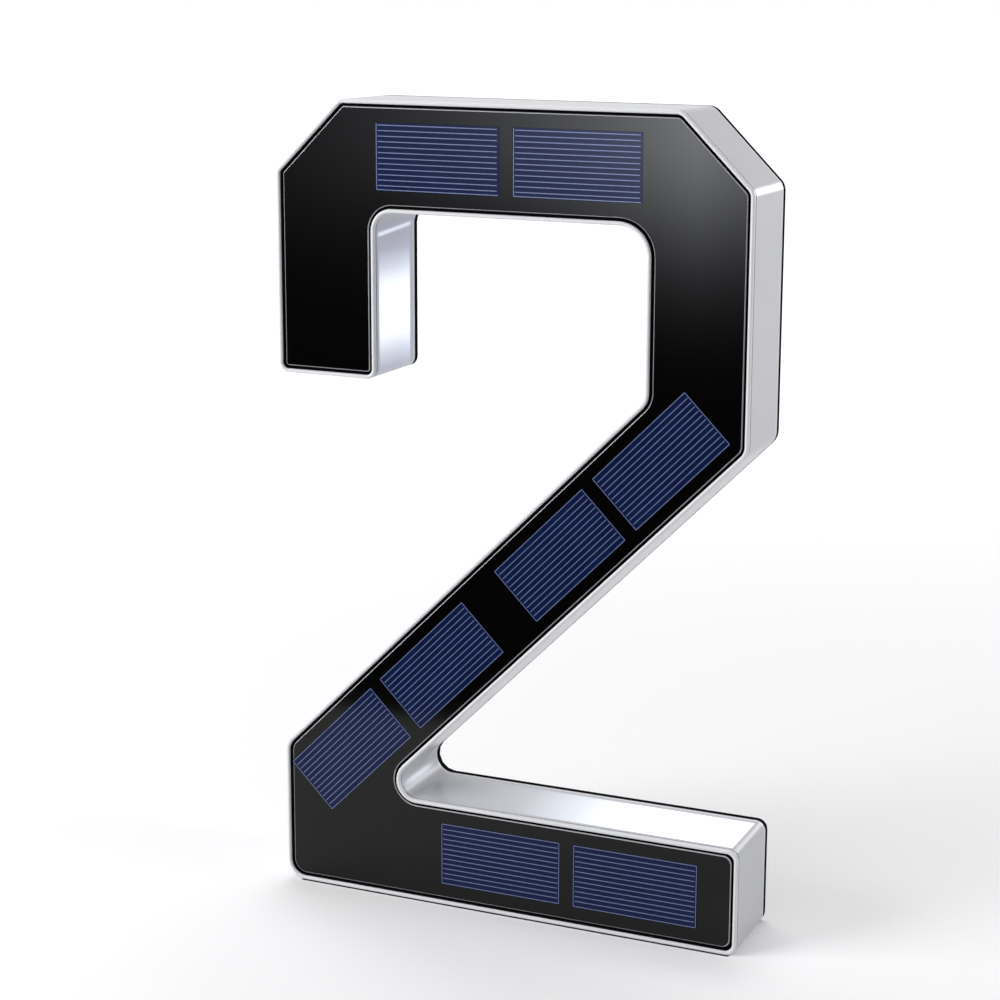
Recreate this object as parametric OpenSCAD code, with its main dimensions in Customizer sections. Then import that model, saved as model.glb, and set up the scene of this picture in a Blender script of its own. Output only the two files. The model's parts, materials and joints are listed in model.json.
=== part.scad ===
// Solar house number sign: a hollow numeral 2 with a black solar face.
// X runs to the right, Y from the front rim back into the wall, Z up.
// The origin is at the bottom centre of the whole sign.

/* [Numeral] */
// Overall height of the numeral
sign_h = 160; // [154:1:190]
// Overall width of the numeral
sign_w = 97.6; // [94:0.2:112]
// Overall depth, from the front rim to the back face
sign_d = 18.6; // [18.2:0.1:24]
// Height of the top and bottom bars, and width of the left stub
stroke_w = 21.3; // [20.9:0.1:23]
// Width of the right-hand stem
stem_w = 20.4; // [20:0.1:22]
// Width of the diagonal, square to its length
diagonal_w = 20.4; // [20:0.1:22]
// Leg of the 45 degree cuts at the two top corners
corner_cut = 14; // [12:0.5:15]
// Length of the left stub, measured down from the top
stub_h = 53.8; // [50:0.1:58]
// Height of the left edge below the diagonal
heel_h = 29.3; // [27:0.1:31]
// Length of the stem's inner edge, from the top bar down to the diagonal
stem_run = 32.2; // [31:0.1:36]

/* [Corners] */
// Radius at the upper left corners and at the end of the stub
crisp_r = 2; // [1.5:0.1:3]
// Radius at the upper right corners
shoulder_r = 2.8; // [2:0.1:4]
// Radius at the right end of the diagonal
hip_r = 3.6; // [2.5:0.1:4.5]
// Radius at the right end of the bottom bar
toe_r = 2; // [1.5:0.1:3]
// Radius at the two lower left corners
heel_r = 4.1; // [3:0.1:5]
// Radius in the inner corners
notch_r = 3.6; // [2.5:0.1:4.5]
// Radius in the inner corner between top bar and stem
crook_r = 5.7; // [4:0.1:7]

/* [Shell] */
// Width of the front rim
rim_w = 0.8; // [0.7:0.05:1]
// Rounding of the front rim
rim_round = 0.3; // [0.2:0.02:0.34]
// Thickness of the side wall
wall_t = 1.5; // [1.3:0.05:1.6]
// How far the ledge under the face reaches in from the outside
ledge_w = 2.7; // [2.4:0.1:3.2]
// Thickness of that ledge
ledge_t = 1.2; // [0.8:0.1:1.6]

/* [Face] */
// How far the face lies behind the front rim
face_recess = 0.5; // [0.3:0.05:0.8]
// Thickness of the face
face_t = 1.8; // [1.4:0.1:2.2]
// Gap between the face and the rim around it
face_gap = 0.45; // [0.3:0.05:0.6]
// Bevel along the edge of the face
face_bevel = 0.4; // [0.2:0.05:0.6]
// Thickness of the adhesive ring under the face
tape_t = 0.3; // [0.2:0.05:0.5]

/* [Solar cells] */
// Width of one cell
cell_w = 12.9; // [12:0.1:14]
// Thickness of one cell
cell_t = 0.4; // [0.3:0.05:0.6]
// Gap between the two cells of a pair
cell_gap = 2.8; // [2:0.1:3.4]
// Clearance around a cell in its pocket
cell_play = 0.05; // [0.02:0.01:0.1]
// Gap between the two pairs on the diagonal
pair_gap = 9.7; // [8:0.1:12]
// Distance of the highest cell's corner on the diagonal from the right edge
upper_margin = 3.57; // [2:0.01:5]
// Distance of the lowest cell's corner on the diagonal from the left edge
lower_margin = 1.15; // [1.1:0.01:3]
// Distance of the bottom pair from the right edge
bottom_margin = 8.2; // [7:0.1:10]

/* [Back] */
// Thickness of the rear cover
cover_t = 1.4; // [1.2:0.05:1.8]
// Thickness of the rear seal
seal_t = 0.4; // [0.3:0.05:0.6]
// Thickness of the locating lip inside the wall
lip_t = 1.2; // [1:0.1:1.5]
// Height of the locating lip
lip_h = 1.4; // [1:0.1:1.8]
// Clearance between the lip and the wall
lip_play = 0.1; // [0.05:0.01:0.2]
// Diameter of the cover screws' thread
screw_d = 1.9; // [1.8:0.05:2]
// Diameter of the cover screws' head
screw_head_d = 3.6; // [3.4:0.1:3.8]
// Length of the cover screws
screw_l = 8; // [6:0.5:10]
// Diameter of the bosses that take them
boss_d = 4.6; // [4.2:0.1:5]
// How far the bosses sink into the side wall
boss_bite = 0.6; // [0.4:0.05:0.8]

/* [Keyholes] */
// Diameter of the round entry, for the head of a wall screw
entry_d = 8; // [7.6:0.1:8.4]
// Width of the slot, for the shank of a wall screw
slot_w = 4.2; // [4:0.1:4.6]
// Clearance between the pocket and the side walls above and below it
pocket_gap = 0.75; // [0.3:0.05:1.2]
// Depth of the pocket behind the cover, for the screw head
pocket_d = 3.3; // [3:0.1:3.6]
// Wall of that pocket
pocket_wall = 1.1; // [0.9:0.05:1.2]

/* [Power button] */
// Diameter of the button
button_d = 6; // [5:0.1:7]
// Travel of the button
button_travel = 0.8; // [0.5:0.05:1]
// How far the button lies below the back face
button_sink = 0.2; // [0.1:0.05:0.4]
// Depth of the dish around the button
dish_depth = 0.5; // [0.4:0.05:0.6]
// Width of the dish around the button
dish_d = 13; // [11:0.5:14]
// Length and width of the switch body
switch_w = 6; // [5.5:0.1:6.5]
// Height of the switch body
switch_h = 3.5; // [3:0.1:3.8]
// Diameter of the switch's plunger
plunger_d = 3.5; // [3:0.1:3.8]

/* [Boards] */
// Thickness of the circuit boards
board_t = 1; // [0.8:0.1:1.2]
// Distance between the light boards' long edges and the numeral's edges beside them
light_board_in = 6.65; // [6:0.05:7]
// Clearance between the top light board and the corner cuts
top_board_gap = 1.8; // [1:0.1:4]
// Room for the leads to the left of the bottom light board
bottom_lead_room = 18.8; // [18:0.1:22]
// Clearance between the bottom light board and the right edge
bottom_board_gap = 8.8; // [8:0.1:12]
// Clearance above and below the light board in the stub
stub_board_gap = 4.25; // [3.5:0.05:5]
// Length of the two light boards in the diagonal
short_board_l = 20; // [19:0.5:21]
// Height of the posts that carry the boards
post_h = 6.9; // [6.5:0.1:7.2]
// Diameter of those posts
post_d = 4.2; // [3.8:0.1:4.4]
// Distance between the control board's long edges and the stem's faces
control_in = 2.7; // [2.5:0.05:3.2]
// Clearance between the control board and the shoulder above it
shoulder_gap = 5.5; // [5:0.1:6.5]
// Clearance between the control board and the elbow below it
elbow_gap = 3; // [2:0.1:4]

/* [Battery] */
// Diameter of the battery
battery_d = 10.5; // [10:0.1:10.8]
// Length of the battery
battery_l = 44.5; // [43:0.1:45]
// Thickness of the holder's floor and sides
holder_t = 1; // [0.8:0.05:1.1]
// Thickness of the holder's ends
holder_end_t = 1.4; // [1.2:0.1:1.6]
// Room between the ends for the spring
spring_l = 3.6; // [3.2:0.1:4]
// Diameter of the leads
lead_d = 1; // [0.8:0.05:1.1]

/* [Hidden] */

$fn = 32;
arc_steps = 5;
round_steps = 2;
overrun = 0.5;
tiny_r = 0.3;
mask_green = [0.1, 0.35, 0.2];
mask_white = [0.93, 0.93, 0.9];

// Depth of each layer, from the front rim at the most negative Y to the back face
front_y = -sign_d / 2;
back_y = sign_d / 2;
face_front_y = front_y + face_recess;
face_back_y = face_front_y + face_t;
ledge_y = face_back_y + tape_t;
ledge_back_y = ledge_y + ledge_t;
cover_in_y = back_y - cover_t;
wall_end_y = cover_in_y - seal_t;
board_back_y = cover_in_y - post_h;
board_front_y = board_back_y - board_t;

// Edges and centre lines of the strokes
left_x = -sign_w / 2;
right_x = sign_w / 2;
stub_right_x = left_x + stroke_w;
stem_left_x = right_x - stem_w;
stub_x = left_x + stroke_w / 2;
stem_x = right_x - stem_w / 2;
under_z = sign_h - stroke_w;
stub_z = sign_h - stub_h;
top_z = sign_h - stroke_w / 2;
bottom_z = stroke_w / 2;
elbow_z = under_z - stem_run;
diagonal_turn = atan2(elbow_z - heel_h, stem_left_x - left_x);
diagonal_slope = tan(diagonal_turn);
diagonal_drop = diagonal_w / cos(diagonal_turn);
hip_z = heel_h + sign_w * diagonal_slope - diagonal_drop;
crotch_x = left_x + (stroke_w - heel_h + diagonal_drop) / diagonal_slope;
diagonal_x = (left_x + right_x) / 2;
diagonal_z = heel_h + (diagonal_x - left_x) * diagonal_slope - diagonal_drop / 2;
diagonal_half = sign_w / 2 / cos(diagonal_turn);

// Corners of the numeral, clockwise from the left end of the upper left cut: x, z, radius
corners = [
  [left_x, sign_h - corner_cut, crisp_r],
  [left_x + corner_cut, sign_h, crisp_r],
  [right_x - corner_cut, sign_h, shoulder_r],
  [right_x, sign_h - corner_cut, shoulder_r],
  [right_x, hip_z, hip_r],
  [crotch_x, stroke_w, notch_r],
  [right_x, stroke_w, toe_r],
  [right_x, 0, toe_r],
  [left_x, 0, heel_r],
  [left_x, heel_h, heel_r],
  [stem_left_x, elbow_z, notch_r],
  [stem_left_x, under_z, crook_r],
  [stub_right_x, under_z, notch_r],
  [stub_right_x, stub_z, crisp_r],
  [left_x, stub_z, crisp_r]
];
// Which of those corners hold a screw boss
screw_corners = [1, 3, 4, 7, 8, 9, 10, 14];

function unit(v) = v / norm(v);
function flat(c) = [c[0], c[1]];
function corner(i) = corners[(i + len(corners)) % len(corners)];
function run_in(i) = unit(flat(corner(i)) - flat(corner(i - 1)));
function run_out(i) = unit(flat(corner(i + 1)) - flat(corner(i)));
function inward(u) = [u[1], -u[0]];
function turn_side(i) = cross(run_in(i), run_out(i)) < 0 ? -1 : 1;
function turned(v, a) = [v[0] * cos(a) - v[1] * sin(a), v[0] * sin(a) + v[1] * cos(a)];

// Corner i of the outline that lies d inside the numeral's outer face
function inset_corner(i, d) =
  let (m = inward(run_in(i)), n = inward(run_out(i)))
  flat(corner(i)) + d * (m + n) / (1 + m * n);
// Its radius grows in an inner corner and shrinks at an outer one
function inset_r(i, d) = max(corner(i)[2] + turn_side(i) * d, tiny_r);
// Point on the rounded corner, from 0 where the bend starts to 1 where it ends
function corner_point(i, d, share) =
  let (
    side = turn_side(i),
    r = inset_r(i, d),
    bend = acos(run_in(i) * run_out(i)),
    start = inset_corner(i, d) - run_in(i) * r * tan(bend / 2),
    spoke = side * r * inward(run_in(i))
  )
  start - spoke + turned(spoke, side * bend * share);
function corner_arc(i, d) = [for (k = [0:arc_steps]) corner_point(i, d, k / arc_steps)];
function boss_place(i) = corner_point(i, boss_in, 1 / 2);
function outline(d) = [for (i = [0:len(corners) - 1]) each corner_arc(i, d)];

// A flat shape of x and z, thickened from one depth to another
module layer(from_y, to_y) {
  translate([0, to_y, 0]) rotate([90, 0, 0]) linear_extrude(to_y - from_y) children();
}
module ring_shape(outer, inner) {
  difference() {
    polygon(outline(outer));
    polygon(outline(inner));
  }
}
module ring(outer, inner, from_y, to_y) {
  layer(from_y, to_y) ring_shape(outer, inner);
}
// A cylinder along Y, standing at x, z
module post(place, d, from_y, to_y) {
  translate([place[0], to_y, place[1]]) rotate([90, 0, 0]) cylinder(d = d, h = to_y - from_y);
}
module cone(place, d_from, d_to, from_y, to_y) {
  translate([place[0], to_y, place[1]]) rotate([90, 0, 0])
    cylinder(d1 = d_to, d2 = d_from, h = to_y - from_y);
}
// A block centred on x and z, from one depth to another
module slab(l, w, from_y, to_y) {
  translate([-l / 2, from_y, -w / 2]) cube([l, to_y - from_y, w]);
}
// Places a part drawn about the origin on a stroke, turned to lie along it
module on_stroke(place, turn) {
  translate([place[0], 0, place[1]]) rotate([0, -turn, 0]) children();
}

// Distance of the bosses' centres from the outer faces
boss_in = wall_t + boss_d / 2 - boss_bite;

// Side shell: the wall, its rounded rim, the ledge for the face and the bosses for the screws
boss_bore = screw_d + lip_play;
module rounded_rim() {
  for (k = [0:round_steps - 1]) {
    turn_a = 90 * k / round_steps;
    turn_b = 90 * (k + 1) / round_steps;
    step_in = rim_round * (1 - cos(turn_b));
    ring(
      step_in, rim_w - step_in,
      front_y + rim_round * (1 - sin(turn_b)), front_y + rim_round * (1 - sin(turn_a))
    );
  }
}
module side_shell() {
  color([0.86, 0.87, 0.92]) {
    rounded_rim();
    ring(0, rim_w, front_y + rim_round, ledge_back_y);
    ring(0, ledge_w, ledge_y, ledge_back_y);
    difference() {
      union() {
        ring(0, wall_t, ledge_y, wall_end_y);
        for (i = screw_corners) post(boss_place(i), boss_d, ledge_back_y, wall_end_y);
      }
      for (i = screw_corners)
        post(boss_place(i), boss_bore, back_y - screw_l - overrun, wall_end_y + overrun);
    }
  }
}

// Face: a black plate with a bevelled edge and a pocket for each cell
face_in = rim_w + face_gap;
diagonal_turns = [0, 0, diagonal_turn, diagonal_turn, diagonal_turn, diagonal_turn, 0, 0];
function end_room(margin) = (margin + cell_w / 2 * sin(diagonal_turn)) / cos(diagonal_turn);
diagonal_room = 2 * diagonal_half - end_room(upper_margin) - end_room(lower_margin) - pair_gap;
cell_l = (diagonal_room / 2 - cell_gap) / 2;
cell_pitch = cell_l + cell_gap;
pair_half = cell_pitch / 2 + cell_l / 2;
upper_pair_s = diagonal_half - end_room(upper_margin) - pair_half;
lower_pair_s = end_room(lower_margin) + pair_half - diagonal_half;
bottom_pair_x = right_x - bottom_margin - pair_half;
function along_diagonal(s) =
  [diagonal_x + s * cos(diagonal_turn), diagonal_z + s * sin(diagonal_turn)];
function cell_place(i) =
  i < 2 ? [diagonal_x + (i - 1 / 2) * cell_pitch, top_z]
  : i < 6 ? along_diagonal(
      (i < 4 ? upper_pair_s : lower_pair_s) + (i % 2 == 0 ? 1 : -1) * cell_pitch / 2)
  : [bottom_pair_x + (i - 7 + 1 / 2) * cell_pitch, bottom_z];

module front_panel() {
  color([0.03, 0.03, 0.04]) {
    layer(face_front_y + cell_t, face_back_y) polygon(outline(face_in));
    layer(face_front_y, face_front_y + cell_t) difference() {
      polygon(outline(face_in + face_bevel));
      for (i = [0:7]) translate(cell_place(i)) rotate(diagonal_turns[i])
        square([cell_l + 2 * cell_play, cell_w + 2 * cell_play], center = true);
    }
  }
}
module solar_cell(i) {
  color([0.08, 0.1, 0.32]) on_stroke(cell_place(i), diagonal_turns[i])
    slab(cell_l, cell_w, face_front_y, face_front_y + cell_t);
}
module panel_tape() {
  color([0.2, 0.2, 0.2]) ring(face_in, ledge_w, face_back_y, ledge_y);
}

// Back: cover with lip, keyholes, posts for the boards, screw holes and the button's dish
board_hole_in = post_d / 2 + 4 * lip_play;
function stroke_point(place, turn, u, y, w) = [
  place[0] + u * cos(turn) - w * sin(turn), y, place[1] + u * sin(turn) + w * cos(turn)
];
function board_holes(b) =
  [for (side = [-1, 1])
    let (p = stroke_point(b[0], b[1], side * (b[2] / 2 - board_hole_in), 0, 0)) [p[0], p[2]]];

// Battery bay in the middle of the diagonal
plate_t = 0.4;
holder_l = battery_l + spring_l + 2 * plate_t + 2 * holder_end_t;
battery_play = 0.15;
holder_w = battery_d + 2 * battery_play + 2 * holder_t;
battery_y = cover_in_y - holder_t - battery_play - battery_d / 2;
holder_place = [diagonal_x, diagonal_z];
short_board_gap = 3.2;
short_board_s = holder_l / 2 + short_board_gap + short_board_l / 2;

// Every board: place, turn, length, width, number of lights
light_board_w = stroke_w - 2 * light_board_in;
top_board_l = sign_w - 2 * (corner_cut + top_board_gap);
bottom_board_l = sign_w - bottom_lead_room - bottom_board_gap;
stub_board_l = stub_h - stroke_w - 2 * stub_board_gap;
control_top_z = sign_h - corner_cut - shoulder_gap;
control_l = control_top_z - elbow_z - elbow_gap;
control_w = stem_w - 2 * control_in;
bottom_board_x = (left_x + bottom_lead_room + right_x - bottom_board_gap) / 2;
top_board = [[diagonal_x, top_z], 0, top_board_l, light_board_w, 4];
stub_board = [[stub_x, (stub_z + under_z) / 2], 90, stub_board_l, light_board_w, 2];
upper_board = [along_diagonal(short_board_s), diagonal_turn, short_board_l, light_board_w, 2];
lower_board = [along_diagonal(-short_board_s), diagonal_turn, short_board_l, light_board_w, 2];
bottom_board = [[bottom_board_x, bottom_z], 0, bottom_board_l, light_board_w, 4];
main_board = [[stem_x, control_top_z - control_l / 2], 90, control_l, control_w, 0];
boards = [top_board, stub_board, upper_board, lower_board, bottom_board, main_board];

// Button and its switch, stacked behind the control board
button_place = [stem_x, main_board[0][1] - switch_w * 2 / 3];
collar_wall = lip_t;
flange_t = button_travel + lip_play;
flange_d = button_d + 2 * collar_wall + 4 * lip_play;
flange_back_y = cover_in_y - lip_play;
flange_front_y = flange_back_y - flange_t;
collar_in = flange_d + 4 * lip_play;
collar_h = flange_t + button_travel + 2 * lip_play;
switch_top_y = board_back_y + switch_h;
plunger_end_y = switch_top_y + button_travel + 2 * lip_play;
switch_floor = switch_h / 5;
plunger_foot_y = board_back_y + switch_floor + button_travel + lip_play;

hole_d = screw_d + 3 * lip_play;
sink_h = (screw_head_d - screw_d) / 2;
seat_d = 2 * (boss_in - wall_t - lip_play);
pocket_in = entry_d + 6 * lip_play;
slot_travel = stroke_w - 2 * (wall_t + pocket_gap + pocket_wall) - pocket_in;
keyhole_zs = [bottom_z, top_z];
entry_drop = slot_travel / 2;

module keyhole_shape() {
  translate([0, -entry_drop]) circle(d = entry_d);
  translate([0, entry_drop]) circle(d = slot_w);
  translate([-slot_w / 2, -entry_drop]) square([slot_w, slot_travel]);
}
module pocket_shape(d) {
  for (side = [-1, 1]) translate([0, side * entry_drop]) circle(d = d);
  translate([-d / 2, -entry_drop]) square([d, slot_travel]);
}
module rear_cover() {
  color([0.05, 0.05, 0.06]) difference() {
    union() {
      layer(cover_in_y, back_y) polygon(outline(0));
      difference() {
        ring(wall_t + lip_play, wall_t + lip_play + lip_t, cover_in_y - lip_h, cover_in_y);
        for (i = screw_corners)
          post(boss_place(i), boss_d + 4 * lip_play, cover_in_y - lip_h - overrun, cover_in_y);
        on_stroke(holder_place, diagonal_turn)
          slab(holder_l + 2 * lip_play, holder_w + 2 * lip_play, cover_in_y - lip_h - overrun, cover_in_y);
      }
      for (i = screw_corners) post(boss_place(i), seat_d, wall_end_y, cover_in_y);
      for (z = keyhole_zs) translate([diagonal_x, 0, z])
        layer(cover_in_y - pocket_d - pocket_wall, cover_in_y) pocket_shape(pocket_in + 2 * pocket_wall);
      for (b = boards, p = board_holes(b)) post(p, post_d, board_back_y, cover_in_y);
      post(button_place, collar_in + 2 * collar_wall, cover_in_y - collar_h, cover_in_y);
    }
    for (z = keyhole_zs) translate([diagonal_x, 0, z]) {
      layer(cover_in_y - pocket_d, cover_in_y) pocket_shape(pocket_in);
      layer(cover_in_y - pocket_wall, back_y + overrun) keyhole_shape();
    }
    for (i = screw_corners) {
      post(boss_place(i), hole_d, wall_end_y - overrun, back_y + overrun);
      cone(boss_place(i), hole_d, screw_head_d + hole_d - screw_d, back_y - sink_h, back_y);
    }
    for (b = boards, p = board_holes(b))
      post(p, screw_d + lip_play, board_back_y - overrun, board_back_y + post_h - cover_t);
    post(button_place, collar_in, cover_in_y - collar_h - overrun, cover_in_y);
    post(button_place, button_d + 2 * lip_play, cover_in_y - overrun, back_y + overrun);
    post(button_place, dish_d, back_y - dish_depth, back_y + overrun);
  }
}
module rear_seal() {
  color([0.1, 0.1, 0.1]) ring(2 * lip_play, wall_t - lip_play, wall_end_y, cover_in_y);
}

// Fasteners: countersunk screws through the cover, pan head screws through the boards
module cross_slot(d, from_y, to_y) {
  for (turn = [0, 90]) rotate([0, turn, 0]) slab(d, d / 4, from_y, to_y);
}
module cover_screws() {
  color("silver") for (i = screw_corners) difference() {
    union() {
      post(boss_place(i), screw_d, back_y - screw_l, back_y - sink_h);
      cone(boss_place(i), screw_d, screw_head_d, back_y - sink_h, back_y);
    }
    translate([boss_place(i)[0], 0, boss_place(i)[1]])
      cross_slot(screw_head_d * 0.6, back_y - sink_h * 0.7, back_y + overrun);
  }
}
pan_h = screw_head_d / 3;
module board_screws() {
  color("silver") for (b = boards, p = board_holes(b)) difference() {
    union() {
      post(p, screw_d, board_front_y, board_back_y + post_h - cover_t - overrun);
      post(p, screw_head_d, board_front_y - pan_h, board_front_y);
    }
    translate([p[0], 0, p[1]])
      cross_slot(screw_head_d * 0.6, board_front_y - pan_h - overrun, board_front_y - pan_h / 2);
  }
}

// Boards and the lights on them
module board(b, tint) {
  color(tint) difference() {
    on_stroke(b[0], b[1]) slab(b[2], b[3], board_front_y, board_back_y);
    for (p = board_holes(b)) post(p, hole_d, board_front_y - overrun, board_back_y + overrun);
  }
}
led_l = 3.5;
led_w = 2.8;
led_t = 0.8;
led_in = 7.5;
led_window = led_w * 0.8;
function led_places(b) = [for (i = [0:b[4] - 1]) [(i / (b[4] - 1) - 1 / 2) * (b[2] - 2 * led_in), 0]];
module leds(b, places) {
  color([1, 1, 0.85]) for (p = places) on_stroke(b[0], b[1]) difference() {
    translate([p[0], 0, p[1]]) slab(led_l, led_w, board_front_y - led_t, board_front_y);
    cone(p, led_window, led_window * 0.8, board_front_y - led_t, board_front_y - led_t * 0.7);
  }
}

// Control board parts: each place is along the board, then across it
chip_l = 5;
chip_w = 4;
chip_h = 1.5;
leg_w = 0.4;
leg_reach = 1;
leg_pitch = 1.27;
chip_place = [-chip_w / 2, control_w / 5];
coil_d = 6;
coil_h = 4.5;
coil_place = [chip_l * 0.8, control_w / 4];
can_d = 5;
can_h = 5;
can_place = [chip_l * 0.8, -control_w / 4];
socket_l = 6;
socket_w = 6;
socket_h = 4;
socket_wall = 0.8;
socket_place = [-socket_l / 2, -control_w / 4];
plug_l = 7.2;
plug_out = 2.5;
stem_lights = [[control_l * 0.28, 0], [-control_l * 0.28, control_w / 4]];

module on_main() {
  on_stroke(main_board[0], main_board[1]) children();
}
module driver_chip() {
  color([0.08, 0.08, 0.09]) on_main() translate([chip_place[0], 0, chip_place[1]]) {
    slab(chip_l, chip_w, board_front_y - chip_h, board_front_y - leg_w / 2);
    for (i = [0:3]) translate([(i - 3 / 2) * leg_pitch, 0, 0])
      slab(leg_w, chip_w + 2 * leg_reach, board_front_y - leg_w, board_front_y);
  }
}
module inductor() {
  color([0.2, 0.19, 0.18]) on_main() {
    post(coil_place, coil_d, board_front_y - coil_h * 0.2, board_front_y);
    post(coil_place, coil_d * 0.8, board_front_y - coil_h * 0.8, board_front_y - coil_h * 0.2);
    post(coil_place, coil_d, board_front_y - coil_h, board_front_y - coil_h * 0.8);
  }
}
module capacitor() {
  color([0.7, 0.7, 0.74]) on_main() difference() {
    post(can_place, can_d, board_front_y - can_h, board_front_y);
    difference() {
      post(can_place, can_d + overrun, board_front_y - can_h * 0.25, board_front_y - can_h * 0.17);
      post(can_place, can_d * 0.9, board_front_y - can_h, board_front_y);
    }
  }
}
module battery_socket() {
  color([0.9, 0.88, 0.8]) on_main() translate([socket_place[0], 0, socket_place[1]]) difference() {
    slab(socket_l, socket_w, board_front_y - socket_h, board_front_y);
    translate([-socket_wall, 0, 0])
      slab(
        socket_l, socket_w - 2 * socket_wall,
        board_front_y - socket_h + socket_wall, board_front_y - socket_wall
      );
  }
}
plug_play = lip_play / 2;
plug_face_u = socket_place[0] - socket_l / 2 - plug_out;
module battery_plug() {
  color([0.95, 0.94, 0.9]) on_main()
    translate([plug_face_u + plug_l / 2, 0, socket_place[1]])
      slab(
        plug_l, socket_w - 2 * socket_wall - 2 * plug_play,
        board_front_y - socket_h + socket_wall + plug_play, board_front_y - socket_wall - plug_play
      );
}
module switch_body() {
  color([0.12, 0.12, 0.13]) difference() {
    translate([button_place[0], 0, button_place[1]]) slab(switch_w, switch_w, board_back_y, switch_top_y);
    post(button_place, plunger_d + 2 * lip_play, board_back_y + switch_floor, switch_top_y + overrun);
  }
}
module switch_plunger() {
  color([0.9, 0.9, 0.9]) post(button_place, plunger_d, plunger_foot_y, plunger_end_y);
}
module power_button() {
  color([0.16, 0.16, 0.17]) {
    post(button_place, plunger_d + 2 * plug_out * lip_play, plunger_end_y, flange_front_y);
    post(button_place, flange_d, flange_front_y, flange_back_y);
    post(button_place, button_d, flange_back_y, back_y - 2 * button_sink);
    cone(button_place, button_d, button_d - 2 * button_sink, back_y - 2 * button_sink, back_y - button_sink);
  }
}

// Battery, its holder and contacts, drawn along the diagonal
inner_s = holder_l / 2 - holder_end_t;
battery_top_s = inner_s - plate_t;
nub_l = 1;
nub_d = battery_d / 2;
end_wall_y = battery_y - battery_d / 3;
plate_front_y = battery_y - battery_d * 0.56;
module rod(d, from_s, to_s) {
  translate([from_s, battery_y, 0]) rotate([0, 90, 0]) cylinder(d = d, h = to_s - from_s);
}
module in_bay() {
  on_stroke(holder_place, diagonal_turn) children();
}
module battery() {
  color([0.15, 0.45, 0.3]) in_bay() {
    rod(battery_d, battery_top_s - battery_l, battery_top_s - nub_l);
    rod(nub_d, battery_top_s - nub_l, battery_top_s);
  }
}
module battery_holder() {
  side_w = holder_w / 2 - holder_t / 2;
  end_s = holder_l / 2 - holder_end_t / 2;
  color([0.07, 0.07, 0.08]) in_bay() {
    slab(holder_l, holder_w, cover_in_y - holder_t, cover_in_y);
    for (side = [-1, 1]) {
      translate([0, 0, side * side_w])
        slab(holder_l, holder_t, battery_y - 1.5 * holder_t, cover_in_y - holder_t);
      translate([side * end_s, 0, 0])
        slab(holder_end_t, holder_w - 2 * holder_t, end_wall_y, cover_in_y - holder_t);
    }
  }
}
module contact_plate(side) {
  color([0.8, 0.78, 0.7]) in_bay() translate([side * (inner_s - plate_t / 2), 0, 0])
    slab(plate_t, battery_d * 0.76, plate_front_y, cover_in_y - 2 * holder_t);
}

// Tubes: the spring and the leads, each swept round its own centre line
lead_sides = 8;
bend_steps = 4;
function project(v, t) = unit(v - t * (v * t));
function side_of(t) = abs(t[1]) < 0.9 ? project([0, 1, 0], t) : project([1, 0, 0], t);
function tangents(p) = [for (i = [0:len(p) - 1])
  unit(p[min(i + 1, len(p) - 1)] - p[max(i - 1, 0)])];
function frames(t) = [for (i = 0, n = side_of(t[0]); i < len(t);
  i = i + 1, n = i < len(t) ? project(n, t[i]) : n) n];
module tube(p, d, sides) {
  t = tangents(p);
  f = frames(t);
  last = (len(p) - 1) * sides;
  polyhedron(
    points = [for (i = [0:len(p) - 1], k = [0:sides - 1])
      let (a = 360 * k / sides)
      p[i] + d / 2 * (cos(a) * f[i] + sin(a) * cross(t[i], f[i]))],
    faces = concat(
      [for (i = [0:len(p) - 2], k = [0:sides - 1])
        let (a = i * sides, b = a + sides, m = (k + 1) % sides)
        each [[a + k, a + m, b + m], [a + k, b + m, b + k]]],
      [[for (k = [sides - 1:-1:0]) k], [for (k = [0:sides - 1]) last + k]]
    )
  );
}
spring_wire_d = 0.6;
spring_turns = 3;
spring_rings = 8;
spring_foot_r = battery_d / 3;
spring_tip_r = battery_d / 5;
module battery_spring() {
  steps = spring_turns * spring_rings;
  color("silver") in_bay() tube(
    [for (i = [0:steps])
      let (
        a = 360 * i / spring_rings,
        r = spring_foot_r + (spring_tip_r - spring_foot_r) * i / steps,
        s = -battery_top_s + spring_wire_d / 2 + (spring_l - spring_wire_d) * i / steps
      )
      [s, battery_y + r * cos(a), r * sin(a)]],
    spring_wire_d, 6
  );
}

// Leads: straight runs joined by bends
bend_r = 2 * lead_d;
function bend(a, b, c) =
  let (
    p = b + unit(a - b) * min(bend_r, norm(a - b) / 2),
    q = b + unit(c - b) * min(bend_r, norm(c - b) / 2)
  )
  [for (k = [0:bend_steps])
    let (h = k / bend_steps) (1 - h) * (1 - h) * p + 2 * h * (1 - h) * b + h * h * q];
function route(p) = concat([p[0]], [for (i = [1:len(p) - 2]) each bend(p[i - 1], p[i], p[i + 1])],
  [p[len(p) - 1]]);
module lead(tint, p) {
  color(tint) tube(route(p), lead_d, lead_sides);
}
module red_lead(p) {
  lead([0.75, 0.08, 0.06], p);
}
module black_lead(p) {
  lead([0.06, 0.06, 0.06], p);
}

// Solder pads stand beside the board posts, and the leads run just behind the boards
pad_w = post_d / 2 + lead_d * 0.9;
pad_in = post_d * 1.67;
run_y = board_back_y + lead_d * 1.6;
pair_step = lead_d * 2.2;
function pad(b, u, w) = stroke_point(b[0], b[1], u, board_back_y, w);
function over(b, u, w) = stroke_point(b[0], b[1], u, run_y, w);
function at_z(p, z) = [p[0], p[1], z];
function at_x(p, x) = [x, p[1], p[2]];
top_pad_u = top_board_l / 2 - pad_in;
main_pad_u = control_l / 2 - post_d * 1.2;

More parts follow.
